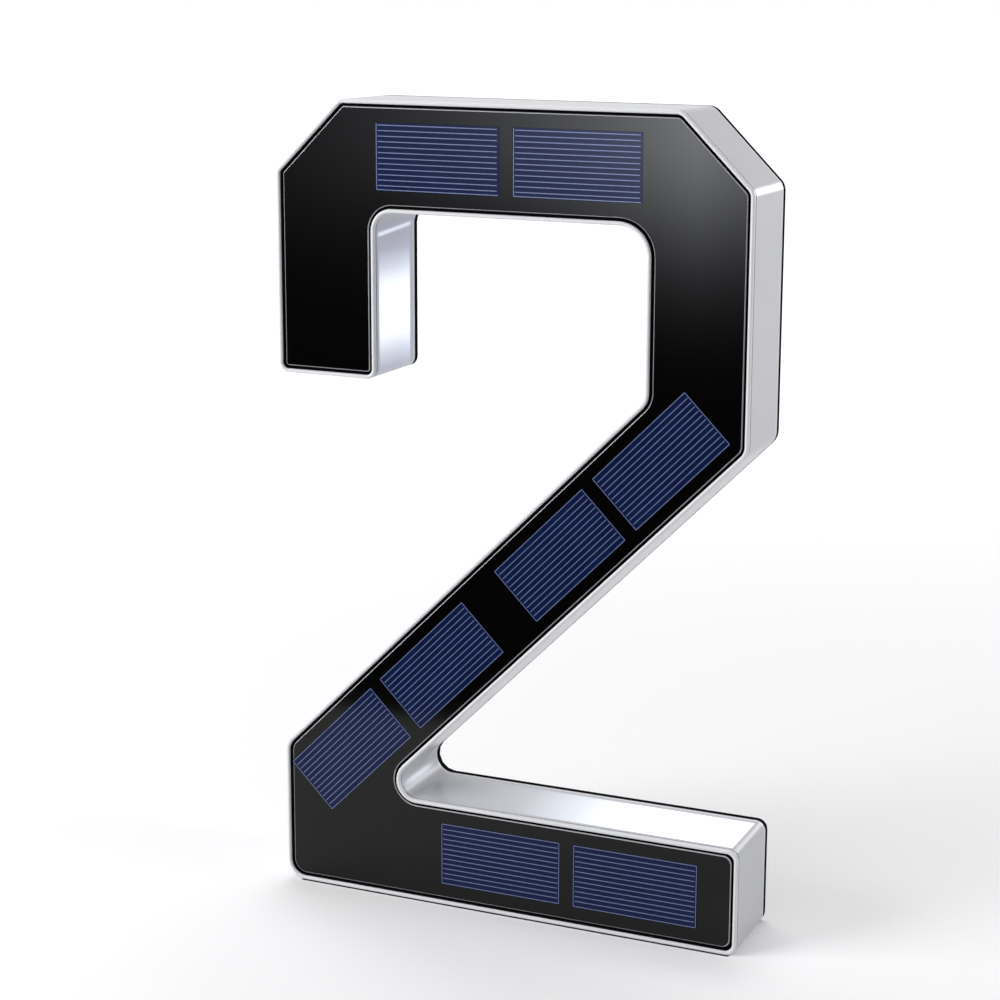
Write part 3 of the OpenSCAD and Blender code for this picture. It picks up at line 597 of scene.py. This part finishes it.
# finishes
shellLook = {
    "wall": (0.58, 0.585, 0.62), "wallDeep": (0.54, 0.55, 0.61), "rim": (0.75, 0.755, 0.785),
    "lilacLightTint": (0.60, 0.61, 0.74), "groove": (0.07, 0.07, 0.085), "grainSize": 0.35, "grain": 0.06,
    "rearHighlightShare": 0.8, "roughness": 0.26, "roughnessGrain": 0.08, "level": 0.3, "coat": 0.15,
    "coatRoughness": 0.06, "bump": 0.04, "bumpDistance": 0.00005, "glowStrength": 1.0,
    "crotchHighlightStrength": 0.8, "stubHighlightStrength": 0.85, "stubHighlightTilt": 0.075, "barGlowFrom": -20.0, "barGlowTo": 32.0,
    "glowStops": [(0.0, (0, 0, 0)), (0.35, (0.065, 0.07, 0.09)), (0.7, (0.32, 0.36, 0.40)),
                  (1.0, (0.72, 0.75, 0.75))],
}
# where each zone lies: low, high and softness in mm; crotchX and stubHighlightX count from their corners
shellZones = {
    "rim": (-20, -8.5, 0.06), "groove": (-8.47, -8.19, 0.03), "rearHighlight": (7.3, 9.5, 0.1),
    "stubX": (-27.9, -27.1, 0.1), "stubZ": (106.5, 138.2, 0.5), "stubGlowZ": (109.0, 129.5, 8),
    "stubGlowY": (-7.4, 6.0, 0.5), "barX": (-24, 49, 1), "barZ": (20.9, 21.7, 0.1),
    "barGlowX": (-40, 47.2, 0.3), "barGlowY": (-7.6, 6.2, 0.3), "crotchX": (2, 7, 1),
    "crotchY": (-8.1, 6.0, 5), "crotchZ": (22.9, 24.3, 0.9), "stubHighlightX": (-0.5, 1.5, 0.3),
    "stubHighlightY": (-7.8, 6.5, 1), "stubHighlightZ": (134.4, 135.2, 0.6),
}


def shellPlastic():
    look, zones = shellLook, shellZones
    paint = Paint("shellPlastic")
    where, x, y, z = paint.place()

    def zone(value, name):
        return paint.between(value, *zones[name])

    grain = paint.noise(where, look["grainSize"], 3)
    rim = zone(y, "rim")
    stubWall = zone(x, "stubX") * zone(z, "stubZ")
    barTop = zone(z, "barZ") * zone(x, "barX")
    base = paint.tint(grain * look["grain"], look["wall"], look["wallDeep"])
    # painted light: the stub wall, behind the rim, is tinted lilac to stand in for the tinted light that
    # falls on this inner wall
    base = paint.tint(stubWall * (1 - rim), base, look["lilacLightTint"])
    # the rim takes its lighter colour; the band of the same colour near the rear end of the wall is a painted
    # highlight
    base = paint.tint(rim + zone(y, "rearHighlight") * look["rearHighlightShare"], base, look["rim"])
    # painted shade: the parting groove is painted near-black, standing in for the shade inside it
    base = paint.tint(zone(y, "groove"), base, look["groove"])
    # painted glow: emission on the stub wall here, and on the bar top below, stands in for the light that
    # falls on these inner walls
    stubGlow = zone(z, "stubGlowZ") * zone(y, "stubGlowY") * stubWall
    # painted highlights: streaks of emission on the two rounded inner corners
    fromCrotch, fromStub = x - corners[crotchCorner][0], x - corners[stubCorner][0]
    crotchHighlight = zone(z, "crotchZ") * zone(fromCrotch, "crotchX") * zone(y, "crotchY")
    crotchHighlight = crotchHighlight * look["crotchHighlightStrength"]
    stubHighlight = zone(z - y * look["stubHighlightTilt"], "stubHighlightZ") * zone(fromStub, "stubHighlightX")
    stubHighlight = stubHighlight * zone(y, "stubHighlightY") * look["stubHighlightStrength"]
    barGlow = paint.node("ShaderNodeMapRange", {"interpolation_type": "SMOOTHSTEP"},
                         {0: x, 1: look["barGlowFrom"], 2: look["barGlowTo"], 3: 0.0, 4: 1.0})
    barGlow = barGlow * zone(x, "barGlowX") * zone(y, "barGlowY") * barTop
    glow = paint.node("ShaderNodeValToRGB", {"stops": look["glowStops"]},
                      {0: stubGlow + barGlow + crotchHighlight + stubHighlight})
    return paint.finish({
        "Base Color": base, "Roughness": look["roughness"] + look["roughnessGrain"] * grain,
        "Specular IOR Level": look["level"], "Coat Weight": look["coat"],
        "Coat Roughness": look["coatRoughness"], "Emission Color": glow,
        "Emission Strength": look["glowStrength"],
        "Normal": paint.bump(grain, look["bump"], look["bumpDistance"]),
    })


faceLook = {
    "colour": (0.0011, 0.0011, 0.0013), "speck": (0.0017, 0.0017, 0.0021), "speckSize": 2.2,
    "hazeSize": 0.05, "roughness": 0.07, "haze": 0.05, "level": 0.26, "bump": 0.05, "bumpDistance": 0.00005,
}


def faceGloss():
    look = faceLook
    paint = Paint("faceGloss")
    where = paint.place()[0]
    haze = paint.noise(where, look["hazeSize"], 3)
    speck = paint.noise(where, look["speckSize"], 4, 0.7)
    return paint.finish({
        "Base Color": paint.tint(speck, look["colour"], look["speck"]),
        "Roughness": look["roughness"] + look["haze"] * haze, "Specular IOR Level": look["level"],
        "Normal": paint.bump(haze, look["bump"], look["bumpDistance"]),
    })


# painted highlight: a lighter metallic finish for the black face's rounded edge, standing in for the light it
# catches
edgeHighlightLook = {
    "colour": (0.50, 0.51, 0.54), "streak": (0.42, 0.43, 0.46), "streakSize": 1.2, "metallic": 0.45,
    "roughness": 0.28, "roughnessStreak": 0.1, "facing": (0.3, 0.985),
}


def paintedEdgeHighlight():
    look = edgeHighlightLook
    paint = Paint("paintedEdgeHighlight")
    streak = paint.noise(paint.place()[0], look["streakSize"], 3)
    return paint.finish({
        "Base Color": paint.tint(streak, look["colour"], look["streak"]), "Metallic": look["metallic"],
        "Roughness": look["roughness"] + look["roughnessStreak"] * streak,
    })


cellLook = {
    "deep": (0.0026, 0.0068, 0.036), "light": (0.0062, 0.015, 0.068), "crystalSize": 0.6,
    "softSize": 0.12, "softShare": 0.75, "crystalShare": 0.25, "roughness": 0.10,
    "roughnessCrystal": 0.06, "level": 0.14,
}


def cellSilicon():
    look = cellLook
    paint = Paint("cellSilicon")
    where = paint.place()[0]
    crystals = paint.node("ShaderNodeTexVoronoi", None,
                          {"Vector": where, "Scale": look["crystalSize"]}, out=1)
    grey = paint.node("ShaderNodeRGBToBW", None, {0: crystals})
    soft = paint.noise(where, look["softSize"], 2)
    mottle = soft * look["softShare"] + grey * look["crystalShare"]
    return paint.finish({
        "Base Color": paint.tint(mottle, look["deep"], look["light"]),
        "Roughness": look["roughness"] + look["roughnessCrystal"] * grey, "Specular IOR Level": look["level"],
    })


lineLook = {
    "colour": (0.18, 0.225, 0.38), "worn": (0.12, 0.15, 0.30), "wornSize": 1.5, "metallic": 0.3,
    "roughness": 0.35, "roughnessWorn": 0.1,
}


def fingerSilver():
    look = lineLook
    paint = Paint("fingerSilver")
    worn = paint.noise(paint.place()[0], look["wornSize"], 3)
    return paint.finish({
        "Base Color": paint.tint(worn, look["colour"], look["worn"]), "Metallic": look["metallic"],
        "Roughness": look["roughness"] + look["roughnessWorn"] * worn,
    })


# one entry for each finish inside: colour, second colour, grain per mm, roughness, metallic, bump
insideLooks = {
    "tape_foam": ((0.05, 0.05, 0.052), (0.09, 0.09, 0.09), 6, 0.85, 0, 0.5),
    "cover_plastic": ((0.008, 0.008, 0.009), (0.015, 0.015, 0.017), 5, 0.42, 0, 0.22),
    "cover_edge": ((0.006, 0.006, 0.007), (0.011, 0.011, 0.012), 5, 0.5, 0, 0.1),
    "seal_rubber": ((0.008, 0.008, 0.008), (0.014, 0.014, 0.014), 4, 0.6, 0, 0.2),
    "screw_steel": ((0.55, 0.55, 0.56), (0.72, 0.72, 0.74), 3, 0.28, 1, 0.05),
    "board_white": ((0.78, 0.79, 0.76), (0.86, 0.87, 0.84), 0.6, 0.3, 0, 0.05),
    "board_green": ((0.02, 0.16, 0.06), (0.035, 0.26, 0.1), 0.8, 0.3, 0, 0.08),
    "led_package": ((0.9, 0.8, 0.32), (0.95, 0.9, 0.6), 0.9, 0.35, 0, 0.05),
    "chip_black": ((0.018, 0.018, 0.02), (0.035, 0.035, 0.035), 7, 0.55, 0, 0.3),
    "ferrite": ((0.06, 0.055, 0.05), (0.1, 0.09, 0.085), 5, 0.75, 0, 0.4),
    "can_aluminium": ((0.66, 0.66, 0.68), (0.78, 0.78, 0.8), 2, 0.32, 1, 0.1),
    "connector_nylon": ((0.74, 0.7, 0.58), (0.82, 0.79, 0.68), 3, 0.5, 0, 0.15),
    "switch_plastic": ((0.03, 0.03, 0.03), (0.05, 0.05, 0.05), 5, 0.5, 0, 0.2),
    "plunger_plastic": ((0.74, 0.74, 0.74), (0.82, 0.82, 0.82), 4, 0.45, 0, 0.15),
    "button_rubber": ((0.028, 0.028, 0.031), (0.045, 0.045, 0.048), 6, 0.62, 0, 0.3),
    "battery_wrap": ((0.04, 0.22, 0.1), (0.07, 0.3, 0.15), 0.5, 0.25, 0, 0.05),
    "contact_nickel": ((0.6, 0.58, 0.53), (0.72, 0.7, 0.66), 3, 0.25, 1, 0.08),
    "wire_red": ((0.45, 0.02, 0.015), (0.55, 0.035, 0.03), 2, 0.4, 0, 0.08),
    "wire_black": ((0.014, 0.014, 0.014), (0.03, 0.03, 0.03), 2, 0.4, 0, 0.08),
}


grainLook = {
    "patchScale": 0.08, "grainShare": 0.6, "patchShare": 0.4, "roughnessGrain": 0.12, "bumpDistance": 0.00006,
    "level": 0.5, "dullLevels": {"cover_plastic": 0.25, "cover_edge": 0.0, "seal_rubber": 0.0},
}


def insideFinish(slotName):
    look = grainLook
    first, second, scale, roughness, metallic, bumpStrength = insideLooks[slotName]
    paint = Paint(slotName + "Finish")
    where = paint.place()[0]
    grain = paint.noise(where, scale, 4, 0.6)
    patches = paint.noise(where, scale * look["patchScale"], 2)
    mottle = grain * look["grainShare"] + patches * look["patchShare"]
    return paint.finish({
        "Base Color": paint.tint(mottle, first, second), "Metallic": float(metallic),
        "Roughness": roughness + look["roughnessGrain"] * (grain - 0.5),
        "Specular IOR Level": look["dullLevels"].get(slotName, look["level"]),
        "Normal": paint.bump(grain, bumpStrength, look["bumpDistance"]),
    })


shellMaterial = shellPlastic()
faceMaterial, edgeHighlightMaterial = faceGloss(), paintedEdgeHighlight()
siliconMaterial, lineMaterial = cellSilicon(), fingerSilver()
wear(screwBosses, shellMaterial)
wear(facePanel, faceMaterial, edgeHighlightMaterial)
# painted highlight: the faces of the rounded edge take the lighter metallic finish
leastFacing, mostFacing = edgeHighlightLook["facing"]
for face in facePanel.data.polygons:  # the rounded edge alone is bright
    face.material_index = 1 if leastFacing < abs(face.normal.y) < mostFacing else 0
for piece in cellLines:
    wear(piece, lineMaterial)

finishes = {}
for part in frame["record"]["subparts"]:
    node, slotName = part["node"], part["material_slot"]
    if slotName == "cell_silicon":
        wear(nodes[node], siliconMaterial)
    elif slotName in insideLooks:
        if slotName not in finishes:
            finishes[slotName] = insideFinish(slotName)
        wear(nodes[node], finishes[slotName])
print("finishes:", len(finishes) + 5)

wear(faceSeal, finishes["seal_rubber"])
wear(sideShell, shellMaterial, finishes["seal_rubber"])
wear(rearCover, finishes["cover_plastic"], insideFinish("cover_edge"))


def wearSecond(piece, depths, insets):
    # the second finish goes where a face's centre lies in these depths and insets
    for face in piece.data.polygons:
        c = face.center / mm
        inside = depths[0] < c.y < depths[1] and insets[0] < outlineDistance(c.x, c.z) < insets[1]
        face.material_index = 1 if inside else 0


# painted shade: the inside of the rim, behind the bead, wears the near-black seal finish so the gap reads
# dark
rimInsideShade = {"depths": (-8.86, -5.4), "insets": (0.78, 2.75)}
coverEdge = {"depths": (7.0, 9.28), "insets": (-1, 0.4)}
wearSecond(sideShell, **rimInsideShade)  # the dark inside of the rim
wearSecond(rearCover, **coverEdge)  # the matt outer edge of the cover
wear(powerButton, finishes["button_rubber"])

# who rides on what
riders = [
    (sideShell, "sign", "shell_plastic"), (screwBosses, "sign", "shell_plastic"),
    (facePanel, "sign", "face_black"), (faceSeal, "sign", "seal_rubber"),
    (rearCover, "sign", "cover_plastic"), (powerButton, "button", "button_rubber"),
]
for piece, body, slotName in riders:
    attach(piece, body)
for piece in cellLines:
    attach(piece, "sign")
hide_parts("side_shell")
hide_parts("front_panel")
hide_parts("rear_cover")
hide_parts("power_button")

# floor, studio cards, lamps and camera
studio = {
    "floorSize": 30.0, "floorPlain": (0.74, 0.74, 0.75), "paper": (0.93, 0.93, 0.945),
    "fibre": (0.95, 0.95, 0.96), "fibreSize": 300, "footShade": (0.01, 0.01, 0.01),
    "footX": (-0.0455, 0.0475, 0.0004), "footY": (-0.0096, 0.0090, 0.00015), "floorLift": 0.13,
    "farLift": 0.8, "farFrom": 0.10, "farTo": 0.9, "worldStrength": 0.40, "cardTint": (0.93, 0.95, 1.0),
    "cardAt": -0.11, "cardLeft": -0.20, "cardRight": 0.03, "cardTop": 0.2,
    "cardPeak": 9.2, "peakX": 2.5, "peakZ": 154.0, "fadeX": 37.0, "fadeZ": 18.5,
}
lampAimHeight = 0.08
plainCards = {
    "rightFlag": {"at": (0.2, -0.14, 0.15), "size": (0.32, 0.3), "turn": math.pi / 2, "strength": 0.12},
    "cornerCard": {"at": (0.2, 0.465, 0.205), "size": (0.2, 0.13), "turn": 0, "strength": 6.0},
}
lamps = {
    "leftSoftbox": {"at": (-0.60, -0.52, 0.33), "size": (0.5, 0.5), "power": 5.5},
    "topSoftbox": {"at": (-0.16, 0.30, 0.74), "size": (0.42, 0.36), "power": 1.45},
    "rightStrip": {"at": (0.62, 0.05, 0.22), "size": (0.12, 0.6), "power": 1.0},
}


def whiteForViewer(paint, plain, seen):
    # what the camera, metal and glass see, and what lights the object
    path = paint.node("ShaderNodeLightPath")
    rays = path.socket.node.outputs
    names = ("Is Camera Ray", "Is Glossy Ray", "Is Transmission Ray")
    camera, glossy, through = (Wire(paint, rays[name]) for name in names)
    return paint.node("ShaderNodeMixShader", None, {0: camera + glossy + through, 1: plain, 2: seen})


def buildFloor():
    bpy.ops.object.select_all(action="DESELECT")
    bpy.ops.mesh.primitive_plane_add(size=studio["floorSize"], location=(0, 0, 0))
    floor = bpy.context.object
    floor.name = "studioFloor"
    paint = Paint("floorPaper")
    where, x, y, _ = paint.place(1)
    fibre = paint.noise(where, studio["fibreSize"], 2)
    plain = paint.node("ShaderNodeBsdfDiffuse", None, {0: studio["floorPlain"]})
    # close under the foot the paper is in deep shade
    foot = paint.between(x, *studio["footX"]) * paint.between(y, *studio["footY"])
    colour = paint.tint(fibre, studio["paper"], studio["fibre"])
    paper = paint.node("ShaderNodeBsdfDiffuse", None, {0: paint.tint(foot, colour, studio["footShade"])})
    # painted light: an emission seen by the camera and in reflections, weaker near the sign and stronger far
    # off, so the paper reads white far away
    far = paint.node("ShaderNodeVectorMath", {"operation": "LENGTH"}, {0: where}, out=1)
    far = paint.node("ShaderNodeMapRange", {"interpolation_type": "SMOOTHSTEP"},
                     {0: far, 1: studio["farFrom"], 2: studio["farTo"], 3: studio["floorLift"],
                      4: studio["farLift"]})
    lift = paint.node("ShaderNodeEmission", None, {0: (1.0, 1.0, 1.0), 1: far * (1 - foot)})
    both = paint.node("ShaderNodeAddShader", None, {0: paper, 1: lift})
    paint.show(whiteForViewer(paint, plain, both))
    wear(floor, paint.material)


def standCard(name, centre, size, turn, colour, strength):
    # a studio card that is seen in the gloss only; strength is worked out from x and z in mm
    bpy.ops.object.select_all(action="DESELECT")
    bpy.ops.mesh.primitive_plane_add(size=1, location=centre, rotation=(math.pi / 2, 0, turn))
    card = bpy.context.object
    card.scale = (*size, 1)
    bpy.ops.object.transform_apply(location=True, rotation=True, scale=True)
    card.name = name
    paint = Paint(name + "Light")
    _, x, _, z = paint.place()
    paint.show(paint.node("ShaderNodeEmission", None, {0: colour, 1: strength(x, z)}))
    wear(card, paint.material)
    for ray in ("camera", "diffuse", "transmission", "volume_scatter", "shadow"):
        setattr(card, "visible_" + ray, False)


def buildCards():
    s = studio

    def window(x, z):  # a soft window at the card's top right
        fallX = abs(x - s["peakX"]) * (-1 / s["fadeX"])
        fallZ = ((z - s["peakZ"]) ** 2) * (-0.5 / s["fadeZ"] ** 2)
        return math.e ** (fallX + fallZ) * s["cardPeak"]

    left, right, top = s["cardLeft"], s["cardRight"], s["cardTop"]
    centre = ((left + right) / 2, s["cardAt"], top / 2)
    standCard("frontCard", centre, (right - left, top), 0, s["cardTint"], window)
    for name, card in plainCards.items():
        standCard(name, card["at"], card["size"], card["turn"], (1.0, 1.0, 1.0),
                  lambda x, z: card["strength"])


def buildLamps():
    aim = Vector((0, 0, lampAimHeight))
    for name, lamp in lamps.items():
        light = bpy.data.lights.new(name, "AREA")
        light.shape = "RECTANGLE"
        light.size, light.size_y = lamp["size"]
        light.energy = lamp["power"]
        obj = bpy.data.objects.new(name, light)
        obj.location = lamp["at"]
        obj.rotation_euler = (aim - Vector(lamp["at"])).to_track_quat("-Z", "Y").to_euler()
        bpy.context.scene.collection.objects.link(obj)
    world = bpy.data.worlds.new("studioWorld")
    bpy.context.scene.world = world
    world.use_nodes = True
    paint = Paint("", world.node_tree)
    plain = paint.node("ShaderNodeBackground", None, {0: (1.0, 1.0, 1.0), 1: studio["worldStrength"]})
    seen = paint.node("ShaderNodeBackground", None, {0: (1.0, 1.0, 1.0), 1: 1.0})
    paint.show(whiteForViewer(paint, plain, seen), "ShaderNodeOutputWorld")


cameraView = {
    "at": (169.37, -382.33, 181.38), "yaw": 21.862, "pitch": 11.657, "roll": 0.683,
    "lens": 79.03, "sensor": 36, "shift": (-0.10, -0.06), "clip": (0.01, 100),
}


def buildCamera():
    c = cameraView
    camera = bpy.data.cameras.new("photoCamera")
    camera.lens, camera.sensor_width = c["lens"], c["sensor"]
    camera.shift_x, camera.shift_y = c["shift"]
    camera.clip_start, camera.clip_end = c["clip"]
    obj = bpy.data.objects.new("photoCamera", camera)
    turn = (Matrix.Rotation(math.radians(c["yaw"]), 4, "Z")
            @ Matrix.Rotation(math.radians(90 - c["pitch"]), 4, "X")
            @ Matrix.Rotation(math.radians(c["roll"]), 4, "Z"))
    obj.matrix_world = Matrix.Translation(Vector(c["at"]) * mm) @ turn
    bpy.context.scene.collection.objects.link(obj)
    bpy.context.scene.camera = obj


buildFloor()
buildCards()
buildLamps()
buildCamera()
bpy.context.scene.view_settings.view_transform = "Standard"
print("studio ready")
